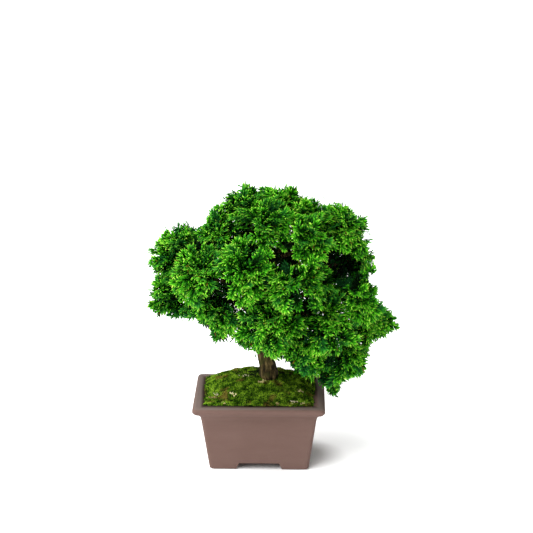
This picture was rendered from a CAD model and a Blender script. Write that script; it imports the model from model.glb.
"""Looks of the hinoki cypress bonsai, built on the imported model.

Finer pieces, worked out from their nodes, replace the pot, moss, wood and leafy sprays. The soil and
the drainage meshes keep their shapes and get better materials.
"""

import logging
from dataclasses import dataclass
from enum import Enum
from math import cos, pi, radians, sin, sqrt

import bpy
import numpy as np
from bpy.types import ID, Material, Mesh, Node, NodeSocket, Object
from mathutils import Matrix, Vector, noise
from mathutils.bvhtree import BVHTree
from numpy import ndarray as Array
from numpy.linalg import norm


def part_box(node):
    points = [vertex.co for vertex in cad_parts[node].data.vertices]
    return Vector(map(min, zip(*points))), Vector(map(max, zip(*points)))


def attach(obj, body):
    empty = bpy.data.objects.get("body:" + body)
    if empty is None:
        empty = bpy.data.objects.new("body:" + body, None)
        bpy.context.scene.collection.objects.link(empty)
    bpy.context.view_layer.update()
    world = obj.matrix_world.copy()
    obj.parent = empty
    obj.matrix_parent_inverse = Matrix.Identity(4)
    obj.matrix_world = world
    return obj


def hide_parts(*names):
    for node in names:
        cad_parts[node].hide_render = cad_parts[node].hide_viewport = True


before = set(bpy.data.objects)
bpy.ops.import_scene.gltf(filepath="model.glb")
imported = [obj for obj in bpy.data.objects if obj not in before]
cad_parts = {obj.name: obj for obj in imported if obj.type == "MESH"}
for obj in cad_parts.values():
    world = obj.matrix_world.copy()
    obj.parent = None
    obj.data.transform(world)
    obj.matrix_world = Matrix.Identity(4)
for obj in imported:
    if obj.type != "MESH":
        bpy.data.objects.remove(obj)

LOG = logging.getLogger("bonsai")
BODY = "root"
LEAF_TONE, MOSS_TONE, GRIT_TONE = "leaf_tone", "moss_tone", "grit_tone"
PHOTO_SIDE = 533
MM = 1000  # millimetres a metre
WHITE = (1.0, 1.0, 1.0, 1.0)
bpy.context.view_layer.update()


class Slot(Enum):
    """The record's material slots that new pieces belong to."""

    CLAY = "clay"
    MOSS = "moss"
    BARK = "bark"
    LEAF = "leaf"


class Layer(Enum):
    """The layers of fronds in a spray, by how deep they grow."""

    OUTER = (34, 0.0, 0.92, 0.0)
    MIDDLE = (12, 0.012, 0.8, 0.4)
    INNER = (14, 0.034, 0.74, 0.95)

    def __init__(self, count: int, depth: float, spread: float, shade: float) -> None:
        """Names its fronds, its depth behind the stem's top, its share of the reach and its shade."""
        self.count, self.depth, self.spread, self.shade = count, depth, spread, shade


def deselect_all() -> None:
    """Leaves nothing selected and nothing active."""
    for obj in bpy.context.selected_objects:
        obj.select_set(False)
    bpy.context.view_layer.objects.active = None


def make_active(obj: Object) -> None:
    """Selects one object alone and makes it the active one."""
    deselect_all()
    obj.select_set(True)
    bpy.context.view_layer.objects.active = obj


def modify(obj: Object, kind: str, **settings: object) -> None:
    """Changes the object's mesh by one modifier.

    Args:
        obj: The object.
        kind: The modifier's Blender type name.
        **settings: Its settings by name.
    """
    make_active(obj)
    modifier = obj.modifiers.new(kind, kind)
    for key, value in settings.items():
        setattr(modifier, key, value)
    bpy.ops.object.modifier_apply(modifier=modifier.name)


def linked(name: str, data: ID) -> Object:
    """Makes an object at the origin.

    Args:
        name: The object's name.
        data: Its mesh, light or camera.

    Returns:
        The new object.
    """
    obj = bpy.data.objects.new(name, data)
    bpy.context.scene.collection.objects.link(obj)
    return obj


def upright_cone(radius: float, middle: float) -> Object:
    """Makes a slim three-sided cone along +Z, 1 unit long.

    Args:
        radius: The radius of its foot.
        middle: The height of its middle.

    Returns:
        The new object.
    """
    deselect_all()
    bpy.ops.mesh.primitive_cone_add(
        vertices=3, radius1=radius, radius2=0.0, depth=1.0, location=(0, 0, middle)
    )
    bpy.ops.object.transform_apply(location=True, rotation=True, scale=True)
    return bpy.context.object


def merged_copy(node: str, name: str) -> Object:
    """Copies a node's mesh into a new object with its loose triangles joined.

    Args:
        node: The node's name in the frame.
        name: The new object's name.

    Returns:
        The new object, at the origin.
    """
    obj = linked(name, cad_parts[node].data.copy())
    obj.data.materials.clear()
    make_active(obj)
    bpy.ops.object.mode_set(mode="EDIT")
    bpy.ops.mesh.select_all(action="SELECT")
    bpy.ops.mesh.remove_doubles(threshold=0.00001)
    bpy.ops.object.mode_set(mode="OBJECT")
    return obj


def coordinates(mesh: Mesh, kind: str = "co") -> Array:
    """Reads three numbers of each vertex.

    Args:
        mesh: The mesh.
        kind: "co" for the vertices' places, "normal" for their directions.

    Returns:
        One row a vertex.
    """
    flat = np.empty(len(mesh.vertices) * 3)
    mesh.vertices.foreach_get(kind, flat)
    return flat.reshape(-1, 3)


def place_coordinates(mesh: Mesh, places: Array) -> None:
    """Moves the mesh's vertices to the given rows."""
    mesh.vertices.foreach_set("co", places.ravel())
    mesh.update()


def finished(obj: Object, slot: Slot, material: Material, *nodes: str) -> None:
    """Dresses a piece and tells the frame what it is.

    Args:
        obj: The piece, at the origin.
        slot: The record's material slot that it belongs to.
        material: Its finish.
        *nodes: The nodes it stands for.
    """
    obj.data.materials.clear()
    obj.data.materials.append(material)
    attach(obj, BODY)
    if nodes:
        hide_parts(*nodes)
    LOG.info("%s: %d faces", obj.name, len(obj.data.polygons))


class NodeMaterial:
    """A material under construction, with short ways to add its nodes."""

    def __init__(self, name: str, roughness: float, specular: float = 0.4) -> None:
        """Starts a Principled material.

        Args:
            name: The material's name.
            roughness: Its roughness, the same all over.
            specular: Its specular level, the same all over.
        """
        self.material = bpy.data.materials.new(name)
        self.material.use_nodes = True
        self.tree = self.material.node_tree
        self.shader = self.tree.nodes["Principled BSDF"]
        self.shader.inputs["Roughness"].default_value = roughness
        self.shader.inputs["Specular IOR Level"].default_value = specular

    def add(self, kind: str, **inputs: object) -> Node:
        """Adds a node and sets or links its inputs.

        Args:
            kind: The node's Blender type name.
            **inputs: Input names with underscores for spaces, each a value or a socket.

        Returns:
            The new node.
        """
        node = self.tree.nodes.new(kind)
        for key, value in inputs.items():
            self.feed(node.inputs[key.replace("_", " ")], value)
        return node

    def feed(self, target: NodeSocket, value: object) -> None:
        """Links or sets one input.

        Args:
            target: The input.
            value: A node's output, or a plain value.
        """
        if isinstance(value, NodeSocket):
            self.tree.links.new(value, target)
        else:
            target.default_value = value

    def tones(self, name: str) -> tuple:
        """The three values that the mesh holds for each vertex by a name.

        Args:
            name: The name of the mesh's colour attribute.

        Returns:
            The three values.
        """
        node = self.add("ShaderNodeAttribute")
        node.attribute_name = name
        return self.add("ShaderNodeSeparateColor", Color=node.outputs["Color"]).outputs

    def place(self, scale: tuple = (1.0, 1.0, 1.0)) -> NodeSocket:
        """The piece's own coordinates, scaled along each axis."""
        where = self.add("ShaderNodeTexCoord").outputs["Object"]
        return self.add("ShaderNodeMapping", Vector=where, Scale=scale).outputs["Vector"]

    def cloud(
        self, scale: float, detail: float = 4.0, rough: float = 0.6, stretch: tuple = (1, 1, 1)
    ) -> NodeSocket:
        """A noise pattern's value, 0 to 1, at a number of patches a metre."""
        sizes = {"Scale": scale, "Detail": detail, "Roughness": rough}
        return self.add("ShaderNodeTexNoise", Vector=self.place(stretch), **sizes).outputs["Fac"]

    def ramp(self, factor: NodeSocket, stops: tuple) -> NodeSocket:
        """Turns a value into a colour.

        Args:
            factor: The value.
            stops: Pairs of a value and its colour, in rising order.

        Returns:
            The colour.
        """
        node = self.add("ShaderNodeValToRGB", Fac=factor)
        ramp = node.color_ramp
        while len(ramp.elements) < len(stops):
            ramp.elements.new(0.5)
        for element, (place, colour) in zip(ramp.elements, stops):
            element.position = place
            element.color = (*colour, 1.0)
        return node.outputs["Color"]

    def mix(self, factor: object, first: object, second: object, blend: str = "MIX") -> NodeSocket:
        """Mixes two colours.

        Args:
            factor: How much of the second there is, a value or a socket.
            first: A colour or a socket.
            second: A colour or a socket.
            blend: Blender's name of the way to mix them.

        Returns:
            The mixed colour.
        """
        node = self.tree.nodes.new("ShaderNodeMix")
        node.data_type = "RGBA"
        node.blend_type = blend
        self.feed(node.inputs[0], factor)
        for index, colour in ((6, first), (7, second)):
            self.feed(node.inputs[index], (*colour, 1.0) if isinstance(colour, tuple) else colour)
        return node.outputs[2]

    def math(self, operation: str, first: object, second: object = 0.0) -> NodeSocket:
        """One arithmetic step on two values or sockets.

        Args:
            operation: Blender's name of the step.
            first: The value it starts from.
            second: The value it adds, takes away and so on.

        Returns:
            The result.
        """
        node = self.tree.nodes.new("ShaderNodeMath")
        node.operation = operation
        self.feed(node.inputs[0], first)
        self.feed(node.inputs[1], second)
        return node.outputs[0]

    def colour(self, socket: NodeSocket) -> None:
        """Gives the shader its base colour."""
        self.tree.links.new(socket, self.shader.inputs["Base Color"])

    def bump(self, height: NodeSocket, strength: float, depth: float) -> None:
        """Gives the shader a bump of a depth in metres."""
        node = self.add("ShaderNodeBump", Strength=strength, Distance=depth, Height=height)
        self.tree.links.new(node.outputs["Normal"], self.shader.inputs["Normal"])


@dataclass(frozen=True)
class UnglazedClay:
    """Matt brown-mauve stoneware, faintly mottled, with fine pale and dark grains."""

    body: tuple = (0.12, 0.07, 0.057)
    pale: tuple = (0.134, 0.08, 0.066)
    dark: tuple = (0.106, 0.06, 0.048)
    limed: tuple = (0.168, 0.132, 0.117)
    grain: tuple = (0.105, 0.064, 0.052)
    mottle: float = 16.0
    grains: float = 850.0
    relief: float = 0.00045

    def build(self) -> Material:
        """Returns the clay's material."""
        made = NodeMaterial("unglazed_clay", 0.78, 0.25)
        wiped = made.cloud(self.mottle, 6.0, 0.62, (0.35, 0.35, 1.0))
        base = made.ramp(wiped, ((0.3, self.dark), (0.5, self.body), (0.7, self.pale)))
        grains = made.cloud(self.grains, 3.0, 0.7)
        specks = made.ramp(grains, ((0.34, (0.8, 0.8, 0.8)), (0.41, (0, 0, 0))))
        facing = made.add("ShaderNodeNewGeometry").outputs["Normal"]
        upward = made.add("ShaderNodeSeparateXYZ", Vector=facing).outputs["Z"]
        level = made.ramp(upward, ((0.75, (0, 0, 0)), (0.95, (0.65, 0.65, 0.65))))
        limed = made.mix(level, base, self.limed)
        made.colour(made.mix(specks, limed, self.grain))
        made.bump(made.cloud(self.grains * 0.7, 4.0, 0.65), 0.45, self.relief)
        return made.material


@dataclass(frozen=True)
class MossGreen:
    """Cushion moss: bright shoots on dark green, with dried brown patches."""

    fresh: tuple = (0.31, 0.52, 0.034)
    green: tuple = (0.04, 0.13, 0.002)
    deep: tuple = (0.004, 0.012, 0.001)
    dry: tuple = (0.19, 0.11, 0.03)
    patches: float = 70.0
    dry_patches: float = 38.0

    def build(self) -> Material:
        """Returns the moss's material, which reads each shoot's tone from its mesh."""
        made = NodeMaterial("cushion_moss", 0.9, 0.05)
        height, tint, _ = made.tones(MOSS_TONE)
        patches = made.cloud(self.patches, 5.0, 0.66)
        patch = made.math("MULTIPLY", made.math("SUBTRACT", patches, 0.5), 1.5)
        own = made.math("MULTIPLY", made.math("SUBTRACT", tint, 0.4), 0.6)
        light = made.math("ADD", made.math("ADD", height, patch), own)
        base = made.ramp(light, ((0.12, self.deep), (0.55, self.green), (1.0, self.fresh)))
        dry_places = made.cloud(self.dry_patches, 5.0, 0.65)
        brown = made.ramp(dry_places, ((0.55, (0, 0, 0)), (0.64, (0.75, 0.75, 0.75))))
        relief = made.ramp(light, ((0.1, (0.1, 0.1, 0.1)), (1.0, (1.6, 1.6, 1.5))))
        dried = made.mix(1.0, self.dry, relief, "MULTIPLY")
        made.colour(made.mix(brown, base, dried))
        made.bump(made.cloud(780.0, 4.0, 0.7), 0.7, 0.001)
        return made.material


@dataclass(frozen=True)
class HinokiBark:
    """Thin flaky bark: brown with tan and olive strips and dark cracks along the wood."""

    tan: tuple = (0.165, 0.12, 0.046)
    brown: tuple = (0.03, 0.022, 0.008)
    crack: tuple = (0.005, 0.004, 0.002)
    olive: tuple = (0.04, 0.046, 0.01)
    strips: float = 210.0
    stretch: tuple = (1.0, 1.0, 0.22)
    lichens: float = 48.0

    def build(self) -> Material:
        """Returns the bark's material."""
        made = NodeMaterial("hinoki_bark", 0.9, 0.08)
        strips = made.cloud(self.strips, 6.0, 0.68, self.stretch)
        base = made.ramp(strips, ((0.36, self.crack), (0.49, self.brown), (0.66, self.tan)))
        patches = made.cloud(self.lichens, 4.0, 0.6)
        lichen = made.ramp(patches, ((0.54, (0, 0, 0)), (0.66, (0.7, 0.7, 0.7))))
        made.colour(made.mix(lichen, base, self.olive))
        made.bump(strips, 0.9, 0.0018)
        return made.material


@dataclass(frozen=True)
class HinokiLeaf:
    """Scale leaves: dark at the heart of a frond, saturated green, and yellow-green at the tips."""

    heart: tuple = (0.0002, 0.006, 0.0001)
    green: tuple = (0.008, 0.115, 0.0016)
    bright: tuple = (0.085, 0.45, 0.01)
    tip: tuple = (0.56, 0.96, 0.1)
    cool: tuple = (0.012, 0.13, 0.028)
    dry: tuple = (0.15, 0.06, 0.008)
    cool_from: float = 0.74
    dry_below: float = 0.0005

    def build(self) -> Material:
        """Returns the leaves' material, which reads each leaf's tone from its mesh."""
        made = NodeMaterial("hinoki_leaf", 0.6, 0.06)
        age, tint, shade = made.tones(LEAF_TONE)
        mottle = made.math("MULTIPLY", made.math("SUBTRACT", made.cloud(260.0, 3.0, 0.6), 0.5), 0.5)
        fresh = made.math("SUBTRACT", made.math("ADD", age, mottle), made.math("MULTIPLY", shade, 0.5))
        tones = ((0.16, self.heart), (0.47, self.green), (0.76, self.bright), (1.0, self.tip))
        base = made.ramp(fresh, tones)
        cool = made.math("MULTIPLY", made.math("GREATER_THAN", tint, self.cool_from), 0.4)
        dry = made.math("MULTIPLY", made.math("LESS_THAN", tint, self.dry_below), 0.85)
        made.colour(made.mix(dry, made.mix(cool, base, self.cool), self.dry))
        return made.material


@dataclass(frozen=True)
class GritPale:
    """Husks and grit from tan through yellow cream to grey white, with dark pores."""

    tan: tuple = (0.3, 0.18, 0.095)
    cream: tuple = (0.62, 0.54, 0.22)
    white: tuple = (0.7, 0.66, 0.44)
    pore: tuple = (0.25, 0.22, 0.18)
    grains: float = 900.0

    def build(self) -> Material:
        """Returns the grit's material, which reads each grain's tone from its mesh."""
        made = NodeMaterial("pale_grit", 0.9, 0.1)
        tones = ((0.1, self.tan), (0.5, self.cream), (0.95, self.white))
        base = made.ramp(made.tones(GRIT_TONE)[0], tones)
        pattern = made.cloud(self.grains, 3.0, 0.6)
        pores = made.ramp(pattern, ((0.32, self.pore), (0.5, (1, 1, 1))))
        made.colour(made.mix(1.0, base, pores, "MULTIPLY"))
        made.bump(pattern, 0.6, 0.0006)
        return made.material


@dataclass(frozen=True)
class PlainFinish:
    """A finish of two close colours in a fine pattern, for small and hidden pieces."""

    name: str
    first: tuple
    second: tuple
    scale: float
    roughness: float

    def build(self) -> Material:
        """Returns the finish's material."""
        made = NodeMaterial(self.name, self.roughness, 0.3)
        pattern = made.cloud(self.scale, 4.0, 0.65)
        made.colour(made.ramp(pattern, ((0.38, self.first), (0.62, self.second))))
        made.bump(pattern, 0.5, 0.0008)
        return made.material


@dataclass
class Camera:
    """The photograph's camera, placed from the middle of the pot's foot."""

    right: float = 0.0622
    back: float = -2.4499
    height: float = 1.03
    pitch: float = radians(16.443)
    yaw: float = radians(-1.213)
    focal: float = 1695.0
    sensor: float = 36.0

    def __post_init__(self) -> None:
        """Works out the eye's place and the directions of the picture's axes."""
        low, high = (Vector(c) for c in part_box("pot"))
        middle = (low + high) / 2
        self.eye = Vector((middle.x + self.right, middle.y + self.back, low.z + self.height))
        level = Vector((sin(self.yaw), cos(self.yaw), 0))
        self.forward = level * cos(self.pitch) - Vector((0, 0, sin(self.pitch)))
        self.across = level.cross(Vector((0, 0, 1))).normalized()
        self.upward = self.across.cross(self.forward).normalized()

    def build(self) -> None:
        """Makes the camera."""
        data = bpy.data.cameras.new("photo_camera")
        data.lens = self.focal * self.sensor / PHOTO_SIDE
        data.sensor_width = self.sensor
        obj = linked("photo_camera", data)
        obj.location = self.eye
        turn = Matrix((self.across, self.upward, -self.forward)).transposed()
        obj.rotation_euler = turn.to_euler()
        bpy.context.scene.camera = obj

    def ray(self, column: float, row: float) -> Vector:
        """The direction from the eye through a place in the picture."""
        aside = self.across * (column - PHOTO_SIDE / 2) - self.upward * (row - PHOTO_SIDE / 2)
        return (self.forward * self.focal + aside).normalized()


@dataclass
class ClayPot:
    """The pot, with a deeper cove under its rim and smooth round edges."""

    smooth_angle: float = radians(32)
    cove_foot: float = 0.0866
    cove_top: float = 0.0956
    cove_stretch: float = 1.5

    def build(self) -> None:
        """Copies the pot's node, deepens its cove, smooths its round edges and dresses it."""
        pot = merged_copy("pot", "clay_pot")
        places = coordinates(pot.data)
        in_cove = (places[:, 2] > self.cove_foot) & (places[:, 2] < self.cove_top)
        places[in_cove, 2] = self.cove_top - (self.cove_top - places[in_cove, 2]) * self.cove_stretch
        place_coordinates(pot.data, places)
        make_active(pot)
        bpy.ops.object.shade_smooth_by_angle(angle=self.smooth_angle)
        modify(pot, "WEIGHTED_NORMAL", keep_sharp=True)
        finished(pot, Slot.CLAY, UnglazedClay().build(), "pot")


@dataclass
class HiddenPieces:
    """The soil and the drainage meshes, which keep their own shapes."""

    def dress(self) -> None:
        """Gives the kept nodes their materials."""
        soil = PlainFinish("potting_soil", (0.03, 0.019, 0.012), (0.11, 0.075, 0.048), 420.0, 0.95)
        mesh = PlainFinish("black_mesh", (0.022, 0.022, 0.023), (0.034, 0.034, 0.036), 300.0, 0.55)
        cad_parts["soil"].data.materials[0] = soil.build()
        black = mesh.build()
        for side in ("left", "right"):
            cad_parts[f"drain_mesh_{side}"].data.materials[0] = black


@dataclass
class MossMound:
    """The moss: the node's mound with small cushions, and shoots standing all over it."""

    cushion: float = 0.01
    cushion_rise: float = 0.0022
    cushion_share: float = 0.35
    settle_from: float = 0.118
    settle_share: float = 0.58
    level_share: float = 0.15
    shoots: int = 30000
    shoot_height: float = 0.0027
    shoot_radius: float = 0.00078
    lean: float = 0.45
    shoot_middle: float = 0.4
    height_range: tuple = (0.45, 1.35)
    foot_tone: float = 0.08
    tip_tone: float = 0.8
    swell_tone: float = 0.62
    trunk_x: float = 0.015
    hole_radius: float = 0.0185
    hole_share: float = 0.78
    spill_from: float = 0.9
    spill_reach: float = 0.003
    spill_size: float = 0.009
    edge_drop: float = 0.0022
    rim_gap: float = 0.0006
    seed: int = 7

    def build(self) -> Object:
        """Makes the moss and returns it."""
        moss = merged_copy("moss", "moss_mound")
        modify(moss, "SUBSURF", subdivision_type="SIMPLE", levels=2, render_levels=2)
        self.raise_cushions(moss.data)
        ground = len(moss.data.vertices)
        shoot = upright_cone(1.0, self.shoot_middle)
        feet, tints = self.plant_shoots(moss, shoot)
        tall = coordinates(shoot.data)[:, 2] > 0.5
        bpy.data.objects.remove(shoot)
        tones = np.zeros((self.shoots, len(tall), 3))
        swells = np.array([self.swell(foot) for foot in feet])
        tones[..., 0] = np.where(tall, self.tip_tone, self.foot_tone)
        tones[..., 0] += self.swell_tone * swells[:, None]
        tones[..., 1] = tints[:, None]
        flat = np.zeros((ground, 3))
        flat[:, 0] = self.foot_tone
        paint(moss.data, MOSS_TONE, np.clip(np.concatenate([flat, tones.reshape(-1, 3)]), 0.0, 1.0))
        finished(moss, Slot.MOSS, MossGreen().build(), "moss")
        return moss

    def raise_cushions(self, mesh: Mesh) -> None:
        """Lifts the moss's top into small cushions, and flattens its heap by the trunk.

        Args:
            mesh: The moss's mesh.
        """
        upward = coordinates(mesh, "normal")[:, 2]
        places = coordinates(mesh)
        for index, place in enumerate(places):
            if upward[index] > self.cushion_share:
                above = max(0.0, place[2] - self.settle_from)
                rise = self.cushion_rise * self.swell(place) - above * (1.0 - self.settle_share)
                places[index, 2] += rise
        self.spill_over_rim(places)
        self.close_round_trunk(places)
        place_coordinates(mesh, places)

    def spill_over_rim(self, places: Array) -> None:
        """Settles the moss's edge on the pot's rim and lets it spill out unevenly.

        Args:
            places: The moss's vertices, which it moves.
        """
        middle = (places.min(axis=0) + places.max(axis=0))[:2] / 2
        half = (places.max(axis=0) - places.min(axis=0))[:2] / 2
        edge = np.abs((places[:, :2] - middle) / half).max(axis=1)
        over = np.clip((edge - self.spill_from) / (1.0 - self.spill_from), 0.0, 1.0)
        over[places[:, 2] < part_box("pot")[1][2] + self.rim_gap] = 0.0
        uneven = np.array([noise.noise(Vector((x, y, 0.0)) / self.spill_size) for x, y, _ in places])
        outward = over * self.spill_reach * (0.5 + uneven)
        places[:, :2] += (places[:, :2] - middle) / half * outward[:, None]
        places[:, 2] -= over * self.edge_drop * (1.0 - uneven)

    def swell(self, place: Array) -> float:
        """How far a place is up on a cushion, about -1 to 1."""
        cell = Vector((place[0], place[1], 0.0)) / self.cushion
        return noise.noise(cell) + 0.6 * noise.noise(cell * 2.3)

    def close_round_trunk(self, places: Array) -> None:
        """Draws the hole in the moss in until the moss touches the trunk.

        Args:
            places: The moss's vertices, which it moves.
        """
        low, high = (np.array(corner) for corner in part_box("pot"))
        axis = (low + high)[:2] / 2 + (self.trunk_x, 0.0)
        rays = places[:, :2] - axis
        near = norm(rays, axis=1) < self.hole_radius
        places[near, :2] = axis + rays[near] * self.hole_share

    def plant_shoots(self, moss: Object, shoot: Object) -> tuple:
        """Copies the shoot over the moss's top, thickly and at random.

        Args:
            moss: The moss that gets the shoots.
            shoot: The one modelled shoot.

        Returns:
            Where each shoot stands, and a random tint for it.
        """
        draw = np.random.default_rng(self.seed)
        mesh = moss.data
        corners = triangles(mesh)
        across, area = spans(corners)
        normal = across / np.maximum(area, 1e-12)[:, None]
        weight = np.where(normal[:, 2] > self.level_share, area, 0.0)
        chosen, foot = scatter(corners, weight, self.shoots, draw)
        aim = normal[chosen] + draw.normal(0, self.lean, (self.shoots, 3))
        aim /= norm(aim, axis=1)[:, None]
        height = self.shoot_height * draw.uniform(*self.height_range, self.shoots)
        turn = draw.uniform(0, 2 * pi, self.shoots)
        width = np.full(self.shoots, self.shoot_radius)
        copies = place_copies(coordinates(shoot.data), foot, aim, height, width, turn)
        add_copies(mesh, copies, face_rows(shoot.data))
        return foot, draw.random(self.shoots)


def paint(mesh: Mesh, name: str, tones: Array) -> None:
    """Stores three values a vertex as a colour attribute."""
    rows = np.concatenate([tones, np.ones((len(tones), 1))], axis=1)
    mesh.color_attributes.new(name, "FLOAT_COLOR", "POINT").data.foreach_set("color", rows.ravel())


def triangles(mesh: Mesh) -> Array:
    """Splits a mesh into triangles.

    Args:
        mesh: The mesh.

    Returns:
        The places of each triangle's three corners.
    """
    mesh.calc_loop_triangles()
    corners = np.empty(len(mesh.loop_triangles) * 3, dtype=np.int32)
    mesh.loop_triangles.foreach_get("vertices", corners)
    return coordinates(mesh)[corners.reshape(-1, 3)]


def spans(corners: Array) -> tuple:
    """The cross product of two sides of each triangle, and its length, which is twice the area."""
    across = np.cross(corners[:, 1] - corners[:, 0], corners[:, 2] - corners[:, 0])
    return across, norm(across, axis=1)


def scatter(corners: Array, weight: Array, count: int, draw: np.random.Generator) -> tuple:
    """Picks random places on triangles.

    Args:
        corners: The triangles' corner places.
        weight: How likely each triangle is.
        count: How many places to pick.
        draw: The random numbers.

    Returns:
        The number of each place's triangle, and the places.
    """
    chosen = draw.choice(len(corners), count, p=weight / weight.sum())
    u, v = draw.random((2, count))
    over = u + v > 1
    u[over], v[over] = 1 - u[over], 1 - v[over]
    a, b, c = (corners[chosen, i] for i in range(3))
    return chosen, a + (b - a) * u[:, None] + (c - a) * v[:, None]


def face_rows(mesh: Mesh) -> list:
    """The mesh's faces as tuples of vertex numbers."""
    return [tuple(polygon.vertices) for polygon in mesh.polygons]


def place_copies(
    shape: Array, foot: Array, along: Array, length: Array, radius: Array, turn: Array
) -> Array:
    """Places copies of a shape that stands along +Z, each with its own foot, direction and size.

    Args:
        shape: The shape's points, 1 unit long and 1 unit in radius.
        foot: Where each copy starts.
        along: The unit direction of each copy.
        length: The length of each copy.
        radius: The radius of each copy.
        turn: How far each copy is turned about its own length; at 0 its X side is level.

    Returns:
        The points of all copies, as copies by points by 3.
    """
    helper = np.where(np.abs(along[:, 2:]) < 0.95, [[0.0, 0.0, 1.0]], [[1.0, 0.0, 0.0]])
    level = np.cross(helper, along)
    level /= norm(level, axis=1)[:, None]
    upright = np.cross(along, level)
    first = level * np.cos(turn)[:, None] + upright * np.sin(turn)[:, None]
    second = np.cross(along, first)
    return (
        foot[:, None, :]
        + first[:, None, :] * shape[None, :, 0:1] * radius[:, None, None]
        + second[:, None, :] * shape[None, :, 1:2] * radius[:, None, None]
        + along[:, None, :] * shape[None, :, 2:3] * length[:, None, None]
    )


def add_copies(mesh: Mesh, copies: Array, faces: list) -> None:
    """Adds copies of a shape to a mesh in one go.

    Args:
        mesh: The mesh that gets them.
        copies: The copies' points, as copies by points by 3.
        faces: The shape's faces as tuples of point numbers.
    """
    count, points, _ = copies.shape
    start, old_loops, old_faces = len(mesh.vertices), len(mesh.loops), len(mesh.polygons)
    mesh.vertices.add(count * points)
    places = coordinates(mesh)
    places[start:] = copies.reshape(-1, 3)
    place_coordinates(mesh, places)
    one = np.concatenate(faces)
    every = np.arange(count)[:, None]
    mesh.loops.add(count * len(one))
    numbers = np.empty(len(mesh.loops), dtype=np.int32)
    mesh.loops.foreach_get("vertex_index", numbers)
    numbers[old_loops:] = (one[None, :] + every * points + start).ravel()
    mesh.loops.foreach_set("vertex_index", numbers)
    firsts = np.concatenate(([0], np.cumsum([len(face) for face in faces])[:-1]))
    mesh.polygons.add(count * len(faces))
    starts = np.empty(len(mesh.polygons), dtype=np.int32)
    mesh.polygons.foreach_get("loop_start", starts)
    starts[old_faces:] = (firsts[None, :] + every * len(one) + old_loops).ravel()
    mesh.polygons.foreach_set("loop_start", starts)
    mesh.update(calc_edges=True)
    mesh.validate()


@dataclass
class Wood:
    """The trunk, limbs and twigs as one smooth skin with raised bark."""

    voxel: float = 0.0012
    smoothing: int = 4
    flake: float = 0.0046
    flake_rise: float = 0.0007
    flake_stretch: tuple = (1.0, 1.0, 0.3)
    crack_slope: float = 3.0
    crack_depth: float = 0.8

    def build(self) -> None:
        """Remeshes the wood, raises its bark and dresses it."""
        wood = merged_copy("trunk_and_limbs", "trunk_and_branches")
        modify(wood, "REMESH", mode="VOXEL", voxel_size=self.voxel)
        modify(wood, "SMOOTH", factor=0.5, iterations=self.smoothing)
        self.raise_bark(wood.data)
        make_active(wood)
        bpy.ops.object.shade_smooth()
        finished(wood, Slot.BARK, HinokiBark().build(), "trunk_and_limbs")

    def raise_bark(self, mesh: Mesh) -> None:
        """Raises long flakes along the wood, with cracks between them.

        Args:
            mesh: The wood's mesh.
        """
        normals, places = coordinates(mesh, "normal"), coordinates(mesh)
        stretch = Vector(self.flake_stretch) / self.flake
        for index, place in enumerate(places):
            flake = noise.noise(Vector(place) * stretch)
            ridge = max(0.0, 1.0 - self.crack_slope * abs(flake)) * -self.crack_depth + flake
            places[index] += normals[index] * self.flake_rise * ridge
        place_coordinates(mesh, places)


@dataclass
class Finger:
    """One branchlet's end: a flattened, blunt finger with a low ridge, of overlapping scale leaves."""

    foot_radius: float = 0.62
    widest: float = 0.64
    flatness: float = 0.5

    def model(self) -> Object:
        """Models the finger standing along +Z, 1 unit long and 1 unit in radius, and returns it."""
        finger = upright_cone(self.foot_radius, 0.5)
        bpy.ops.object.mode_set(mode="EDIT")
        bpy.ops.mesh.select_all(action="SELECT")
        bpy.ops.mesh.bisect(plane_co=(0, 0, self.widest), plane_no=(0, 0, 1))
        bpy.ops.object.mode_set(mode="OBJECT")
        places = coordinates(finger.data)
        middle = np.abs(places[:, 2] - self.widest) < 0.01
        places[middle, :2] /= norm(places[middle, :2], axis=1)[:, None]
        places[:, 1] *= self.flatness
        place_coordinates(finger.data, places)
        return finger


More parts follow.
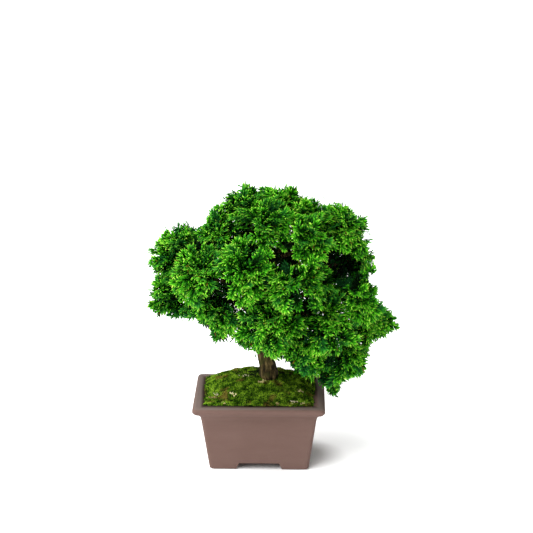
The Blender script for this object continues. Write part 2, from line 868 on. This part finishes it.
@dataclass
class FrondPattern:
    """A flat hinoki frond, 1 unit long: side twigs along an axis, lined with fingers on both sides."""

    seed: int
    pairs: int = 4
    first_pair: float = 0.16
    last_pair: float = 0.74
    base_angle: float = radians(56)
    angle_drop: float = radians(20)
    finger_angle: float = radians(29)
    twig_reach: float = 0.4
    finger_length: float = 0.36
    finger_pitch: float = 0.23
    jitter: float = 0.14
    lift: float = 0.22
    twig_width: float = 0.42
    axis_length: float = 0.86
    side_step: float = 0.05
    twig_turn: float = 0.09
    twig_range: tuple = (0.82, 1.12)
    finger_range: tuple = (0.72, 1.0)
    end_twig: tuple = (0.78, 0.2)

    def __post_init__(self) -> None:
        """Grows the frond: its axis, then each side twig, then the end twig."""
        self.draw = np.random.default_rng(self.seed)
        self.rows = []
        self.grow(np.zeros(3), 0.0, self.axis_length, self.twig_width, 0.2)
        for pair in range(self.pairs):
            share = pair / (self.pairs - 1)
            start = np.array((self.first_pair + (self.last_pair - self.first_pair) * share, 0.0, 0.0))
            reach = self.twig_reach * (1.0 - 0.5 * share**2)
            for side in (-1, 1):
                turn = self.draw.normal(0, self.twig_turn)
                angle = side * (self.base_angle - self.angle_drop * share) + turn
                foot = start + (self.side_step * side, 0, 0)
                self.twig(foot, angle, reach * self.draw.uniform(*self.twig_range))
        self.twig(np.array((self.end_twig[0], 0.0, 0.0)), 0.0, self.end_twig[1])
        self.feet, self.aims, self.lengths, self.widths, self.fresh = map(np.array, zip(*self.rows))

    def grow(self, foot: Array, angle: float, length: float, width: float, fresh: float) -> None:
        """Adds one finger, which is 1 unit wide and lifts at random, or one bare twig."""
        lift = self.draw.normal(0.0, self.lift) if width == 1.0 else 0.0
        aim = (cos(angle) * cos(lift), sin(angle) * cos(lift), sin(lift))
        self.rows.append((foot, aim, length, width, fresh))

    def twig(self, start: Array, angle: float, reach: float) -> None:
        """Adds a side twig with its fingers, longest at its end.

        Args:
            start: Where it leaves the axis.
            angle: Its angle from the axis.
            reach: Its length with its end finger.
        """
        bare = max(0.04, reach - self.finger_length * 0.8)
        direction = np.array((cos(angle), sin(angle), 0.0))
        self.grow(start, angle, bare, self.twig_width, 0.15)
        steps = max(1, round(bare / self.finger_pitch))
        for step in range(steps):
            foot = start + direction * bare * (step + 0.5) / steps
            for side in (-1, 1):
                swing = angle + side * self.finger_angle + self.draw.normal(0, self.jitter)
                length = self.finger_length * self.draw.uniform(*self.finger_range)
                fresh = 0.45 + 0.4 * min(1.0, float(norm(foot)))
                self.grow(foot, swing, length, 1.0, fresh)
        end = angle + self.draw.normal(0, self.jitter)
        self.grow(start + direction * bare * 0.9, end, self.finger_length, 1.0, 0.92)


@dataclass
class Foliage:
    """All leafy sprays: each node's fans are filled with many small overlapping fronds.

    As the camera sees it, the canopy stays above hem, below crown and out of notches, but for a loose
    fringe. The tables are in millimetres from the middle of the pot's foot: hem and crown hold (x, z),
    notches (x, z, radius), and fills (x, y, z, radius, fronds) of each small side spray.
    """

    patterns: int = 6
    finger_radius: float = 0.00138
    stem: float = 0.012
    opening: float = radians(70)
    shortest: float = 0.024
    sector: float = radians(30)
    frond_least: float = 0.024
    frond_most: float = 0.035
    origin_depth: float = 0.03
    arch: float = 0.2
    upward: float = 0.6
    outward: float = 0.6
    scatter: float = 0.26
    inner_fronds: int = 330
    inner_heights: tuple = (0.215, 0.395)
    heart: float = 0.27
    fill_root: float = 0.25
    fill_range: tuple = (0.4, 1.1)
    fill_facing: tuple = (0.0, -0.4, 0.7)
    fill_shade: tuple = (0.1, 0.6)
    tone_range: tuple = (0.3, 0.8)
    tone_jitter: tuple = (0.07, 0.06)
    seed: int = 23
    hem: tuple = (
        (-182, 248), (-168, 246), (-155, 234), (-144, 226), (-112, 230), (-96, 223), (-80, 212),
        (-68, 191), (-36, 194), (-21, 180), (6, 174), (19, 164), (34, 166), (46, 162), (56, 142),
        (83, 132), (96, 124), (105, 112), (117, 101), (121, 104), (124, 130), (158, 139), (163, 160),
        (170, 190), (192, 201), (213, 213),
    )
    crown: tuple = (
        (-195, 288), (-180, 316), (-168, 329), (-156, 337), (-144, 357), (-119, 366), (-90, 360),
        (-80, 366), (-71, 396), (-47, 411), (-23, 430), (1, 424), (50, 424), (72, 406), (110, 400),
        (132, 396), (144, 383), (160, 384), (169, 330), (174, 298), (176, 258), (186, 246), (196, 232),
        (210, 222),
    )
    notches: tuple = (
        (-166, 294, 14), (-168, 265, 7), (158, 356, 13), (171, 288, 14),
    )
    fringe: float = 0.004
    fills: tuple = (
        (101, -30, 172, 20, 16), (86, -40, 172, 18, 12), (-61, -50, 214, 18, 12),
        (-150, -10, 250, 18, 12), (-128, -20, 244, 18, 12), (-48, -30, 345, 22, 14),
        (-55, 0, 325, 22, 14), (112, 0, 276, 24, 16), (130, 0, 264, 18, 10), (70, -40, 248, 22, 14),
        (134, -30, 222, 18, 10), (180, -6, 218, 10, 6), (-57, 10, 390, 20, 16), (-27, 15, 356, 20, 16),
        (47, 15, 356, 18, 14), (34, 15, 332, 20, 16), (-14, 15, 331, 18, 12), (56, 20, 309, 18, 12),
        (168, 0, 306, 10, 6), (-55, 10, 264, 16, 10), (116, 10, 240, 18, 12), (-36, 0, 220, 14, 8),
        (-34, 0, 202, 14, 8), (91, 10, 227, 14, 8), (74, 10, 204, 14, 10), (-30, 0, 186, 16, 12),
        (31, 0, 156, 12, 7), (112, 0, 156, 10, 6), (53, 0, 141, 10, 6), (116, -20, 110, 10, 8),
        (199, -4, 214, 7, 5), (62, -10, 146, 10, 7),
    )
    dry_share: float = 0.004

    def build(self) -> None:
        """Builds every spray from its node, then the fronds inside the canopy and between sprays."""
        self.draw = np.random.default_rng(self.seed)
        self.fronds = [FrondPattern(seed) for seed in range(self.patterns)]
        self.wood = coordinates(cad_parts["trunk_and_limbs"].data)
        low, high = (np.array(corner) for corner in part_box("pot"))
        self.middle = (low + high) / 2
        self.eye = np.array(Camera().eye)
        self.edge_draw = np.random.default_rng(self.seed + 1)
        finger = Finger().model()
        self.shape = coordinates(finger.data)
        self.faces = face_rows(finger.data)
        bpy.data.objects.remove(finger)
        leaf = HinokiLeaf().build()
        for node in sorted(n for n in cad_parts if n.startswith("spray_")):
            finished(self.build_spray(node), Slot.LEAF, leaf, node)
        finished(self.build_inside(), Slot.LEAF, leaf)
        finished(self.build_between(), Slot.LEAF, leaf)

    def stem_of(self, points: Array) -> tuple:
        """Finds a spray's stem in its node, which starts by the wood.

        Args:
            points: The node's points.

        Returns:
            The top of the stem and the direction that the spray faces.
        """
        near = self.wood[norm(self.wood - points.mean(0), axis=1) < 10 * self.stem]
        gaps = norm(points[:, None, :] - near[None, :, :], axis=2).min(axis=1)
        foot = points[np.argsort(gaps)[:4]].mean(0)
        away = norm(points - foot, axis=1)
        ring = points[(away > self.stem * 0.8) & (away < self.stem * 1.45)]
        facing = ring.mean(0) - foot
        facing /= norm(facing)
        return foot + facing * self.stem, facing

    def build_spray(self, node: str) -> Object:
        """Builds one spray's fronds, spread over the dome that its node's fans make.

        Args:
            node: The name of the node that the spray stands for.

        Returns:
            The new piece.
        """
        points = np.unique(coordinates(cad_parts[node].data).round(6), axis=0)
        apex, facing = self.stem_of(points)
        helper = np.array((0.0, 0.0, 1.0)) if abs(facing[2]) < 0.9 else np.array((1.0, 0.0, 0.0))
        first = np.cross(facing, helper)
        first /= norm(first)
        second = np.cross(facing, first)
        rays = points - apex
        away = norm(rays, axis=1)
        bearing = np.arctan2(rays @ second, rays @ first)
        pieces = []
        for layer in Layer:
            for _ in range(layer.count):
                turn = self.draw.uniform(-pi, pi)
                share = sqrt(self.draw.uniform(0.04, 1.0))
                beside = np.abs((bearing - turn + pi) % (2 * pi) - pi) < self.sector
                reach = max(self.shortest, away[beside].max() if beside.any() else 0.0)
                opening = self.opening * (0.25 + 0.75 * share) + self.draw.normal(0, 0.08)
                aside = first * cos(turn) + second * sin(turn)
                aim = facing * cos(opening) + aside * sin(opening)
                tip = apex - facing * layer.depth + aim * reach * share * layer.spread
                origin = apex - facing * self.draw.uniform(0.5, 1.2) * self.origin_depth
                hint = facing * self.outward + (0, 0, self.upward) + self.draw.normal(0, self.scatter, 3)
                pieces.append(self.frond(origin, tip, hint, layer.shade))
        return self.leaf_mesh(node.replace("spray_", "leaves_"), pieces)

    def build_inside(self) -> Object:
        """Builds the shaded fronds that grow on the limbs inside the canopy."""
        corners = triangles(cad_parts["trunk_and_limbs"].data)
        centre = corners.mean(axis=1)
        low, high = self.inner_heights
        canopy = (centre[:, 2] > low) & (centre[:, 2] < high)
        weight = np.where(canopy, spans(corners)[1], 0.0)
        _, feet = scatter(corners, weight, self.inner_fronds, self.draw)
        pieces = []
        for foot in feet:
            aim = self.draw.normal(0, 1.0, 3)
            aim /= norm(aim)
            tip = foot + aim * self.frond_most
            pieces.append(self.frond(foot, tip, self.draw.normal(0, 1.0, 3), 1.0))
        return self.leaf_mesh("leaves_inside", pieces)

    def build_between(self) -> Object:
        """Builds the small side sprays that close the gaps between the larger ones."""
        pieces = []
        foot = self.middle * (1, 1, 0)
        for *place, size, count in self.fills:
            centre, radius = foot + np.array(place) / MM, size / MM
            origin = centre + (foot + (0.0, 0.0, self.heart) - centre) * self.fill_root
            for aim in self.draw.normal(0, 1.0, (count, 3)):
                tip = centre + aim / norm(aim) * radius * self.draw.uniform(*self.fill_range)
                hint = self.fill_facing + self.draw.normal(0, self.scatter, 3)
                pieces.append(self.frond(origin, tip, hint, self.draw.uniform(*self.fill_shade)))
        return self.leaf_mesh("leaves_between", pieces)

    def frond(self, origin: Array, tip: Array, hint: Array, shade: float) -> tuple:
        """Places one frond's fingers.

        Args:
            origin: Where the frond points away from.
            tip: Where it ends.
            hint: Roughly the way its upper side looks.
            shade: How dark its leaves are, 0 to 1.

        Returns:
            The fingers' points, and each point's tone.
        """
        pattern = self.fronds[self.draw.integers(self.patterns)]
        along = tip - origin
        span = float(norm(along))
        along /= span
        reach = min(self.draw.uniform(self.frond_least, self.frond_most), span * 1.1)
        normal = hint - along * (hint @ along)
        normal /= norm(normal)
        across = np.cross(normal, along)
        gap = max(0.0, span / reach - 1.0)
        feet = np.vstack([pattern.feet, (-gap, 0.0, 0.0)])
        aims = np.vstack([pattern.aims, (1.0, 0.0, 0.0)])
        lengths = np.append(pattern.lengths, gap + 0.05)
        radius = self.finger_radius / reach * np.append(pattern.widths, pattern.twig_width)
        flat = place_copies(self.shape, feet, aims, lengths, radius, np.zeros(len(feet)))
        flat[..., 2] -= self.arch * (np.maximum(flat[..., 0], 0.0) ** 2 + flat[..., 1] ** 2)
        axes = np.stack([along, across, normal])
        places = tip + reach * ((flat - (1.0, 0.0, 0.0)) @ axes)
        foot, rise = self.tone_range
        finger, whole = self.tone_jitter
        fresh = np.append(pattern.fresh, 0.0)[:, None] * (foot + rise * self.shape[None, :, 2] ** 1.3)
        fresh = fresh + self.draw.normal(0, finger, (len(feet), 1)) + self.draw.normal(0, whole)
        tint, dark = np.full_like(fresh, self.draw.uniform(0.02, 1.0)), np.full_like(fresh, shade)
        tint[self.draw.random(len(feet)) < self.dry_share] = 0.0
        kept = self.in_outline(places)
        return places[kept], np.stack([fresh, tint, dark], axis=2)[kept]

    def in_outline(self, places: Array) -> Array:
        """True for each finger between the canopy's hem and crown and out of its notches.

        Args:
            places: The fingers' points, as fingers by points by 3.

        Returns:
            One truth value a finger.
        """
        middles = places.mean(axis=1)
        share = (self.middle[1] - self.eye[1]) / (middles[:, 1] - self.eye[1])
        across = self.eye[0] + (middles[:, 0] - self.eye[0]) * share - self.middle[0]
        level = self.eye[2] + (middles[:, 2] - self.eye[2]) * share
        loose = np.abs(self.edge_draw.normal(0.0, self.fringe, len(level)))
        hem, crown = (np.interp(across, *np.array(line).T / MM) for line in (self.hem, self.crown))
        kept = (level + loose > hem) & (level - loose < crown)
        for x, z, radius in np.array(self.notches) / MM:
            kept &= np.hypot(across - x, level - z) + loose > radius
        return kept

    def leaf_mesh(self, name: str, pieces: list) -> Object:
        """Makes one object of several fronds.

        Args:
            name: The object's name.
            pieces: Each frond's points and tones.

        Returns:
            The new object, at the origin.
        """
        places = np.concatenate([piece[0] for piece in pieces])
        tones = np.concatenate([piece[1] for piece in pieces])
        mesh = bpy.data.meshes.new(name)
        add_copies(mesh, places, self.faces)
        paint(mesh, LEAF_TONE, np.clip(tones.reshape(-1, 3), 0.0, 1.0))
        obj = linked(name, mesh)
        make_active(obj)
        bpy.ops.object.shade_smooth()
        return obj


@dataclass
class Grit:
    """Pale husks and grit in small heaps on the moss: (column, row, size, tone) in the picture."""

    seed: int = 5
    grains: int = 12
    spots: tuple = (
        (213.0, 398.5, 0.0036, 0.2), (216.5, 395.5, 0.003, 0.85),
        (233.0, 394.5, 0.0046, 0.75), (262.5, 382.5, 0.0048, 0.45),
        (245.0, 376.5, 0.0036, 1.0), (224.0, 404.0, 0.0026, 0.55),
        (300.0, 392.0, 0.0044, 0.5), (293.5, 403.0, 0.0036, 0.95),
        (303.0, 404.0, 0.0028, 0.6), (277.5, 404.5, 0.0034, 0.3),
    )
    flatness: float = 0.55
    size_range: tuple = (0.36, 0.76)
    heap_width: float = 0.85
    tone_jitter: float = 0.12
    sink: float = 0.0006
    lift: float = 0.0018

    def build(self, camera: Camera, moss: Object) -> None:
        """Lays each heap on the moss.

        Args:
            camera: The photograph's camera.
            moss: The moss that carries them.
        """
        ground = BVHTree.FromObject(moss, bpy.context.evaluated_depsgraph_get())
        draw = np.random.default_rng(self.seed)
        grain = self.model_grain()
        shape, faces = coordinates(grain.data), face_rows(grain.data)
        bpy.data.objects.remove(grain)
        copies, tones = [], []
        for column, row, size, tone in self.spots:
            place = ground.ray_cast(camera.eye, camera.ray(column, row))[0]
            for _ in range(self.grains):
                turn = Matrix.Rotation(draw.uniform(0, 2 * pi), 3, Vector(draw.normal(0, 1, 3)))
                scale = size * draw.uniform(*self.size_range) * np.array((1.0, 0.8, self.flatness))
                height = self.lift + draw.uniform(-1, 1) * self.sink
                aside = np.array((*draw.normal(0, size * self.heap_width, 2), height))
                copies.append((shape * scale) @ np.array(turn) + place + aside)
                tones.append(np.clip(tone + draw.normal(0, self.tone_jitter), 0.0, 1.0))
        mesh = bpy.data.meshes.new("moss_grit")
        add_copies(mesh, np.array(copies), faces)
        rows = np.repeat(np.array(tones), len(shape))
        paint(mesh, GRIT_TONE, np.stack([rows, rows, rows], axis=1))
        finished(linked("moss_grit", mesh), Slot.MOSS, GritPale().build())

    def model_grain(self) -> Object:
        """Models one knobbly grain about 1 unit across."""
        deselect_all()
        bpy.ops.mesh.primitive_ico_sphere_add(subdivisions=2, radius=0.5, location=(0, 0, 0))
        grain = bpy.context.object
        places = coordinates(grain.data)
        for index, corner in enumerate(places):
            places[index] = corner * (1.0 + 0.5 * noise.noise(Vector(corner) * 3.1))
        place_coordinates(grain.data, places)
        return grain


@dataclass
class Studio:
    """A plain pale floor under a soft light from above, left and in front."""

    floor_side: float = 60.0
    floor_glow: float = 0.4
    dark_reach: tuple = (11.0, 14.0, 0.0)
    glow_from: float = 0.8
    glow_full: float = 1.25
    sun_power: float = 5.7
    sun_softness: float = radians(78)
    sun_from: tuple = (-0.62, -0.4, 0.95)
    surroundings: float = 0.47

    def build(self) -> None:
        """Makes the floor, the light and the even white surroundings."""
        deselect_all()
        bpy.ops.mesh.primitive_plane_add(size=self.floor_side, location=(0, 0, -0.0004))
        floor = bpy.context.object
        floor.name = "studio_floor"
        made = NodeMaterial("studio_white", 0.9, 0.5)
        made.shader.inputs["Base Color"].default_value = (0.95, 0.95, 0.95, 1.0)
        self.light_far_floor(made)
        floor.data.materials.append(made.material)
        data = bpy.data.lights.new("soft_sun", "SUN")
        data.energy = self.sun_power
        data.angle = self.sun_softness
        sun = linked("soft_sun", data)
        sun.rotation_euler = Vector(self.sun_from).to_track_quat("Z", "Y").to_euler()
        world = bpy.data.worlds.new("studio_world")
        world.use_nodes = True
        background = world.node_tree.nodes["Background"]
        background.inputs["Color"].default_value = WHITE
        background.inputs["Strength"].default_value = self.surroundings
        bpy.context.scene.world = world
        bpy.context.scene.view_settings.view_transform = "Standard"

    def light_far_floor(self, made: NodeMaterial) -> None:
        """Lets the floor glow a little away from the pot, so that only a faint shadow shows there.

        Args:
            made: The floor's material.
        """
        away = made.add("ShaderNodeVectorMath", Vector=made.place(self.dark_reach))
        away.operation = "LENGTH"
        ends = {"From_Min": self.glow_from, "From_Max": self.glow_full, "To_Max": self.floor_glow}
        glow = made.add("ShaderNodeMapRange", Value=away.outputs["Value"], **ends)
        made.feed(made.shader.inputs["Emission Strength"], glow.outputs["Result"])
        made.shader.inputs["Emission Color"].default_value = WHITE


def main() -> None:
    """Builds every piece in order."""
    logging.basicConfig(level=logging.INFO, format="%(name)s: %(message)s")
    deselect_all()
    camera = Camera()
    camera.build()
    ClayPot().build()
    HiddenPieces().dress()
    moss = MossMound().build()
    Wood().build()
    Foliage().build()
    Grit().build(camera, moss)
    Studio().build()


if __name__ == "__main__":
    main()
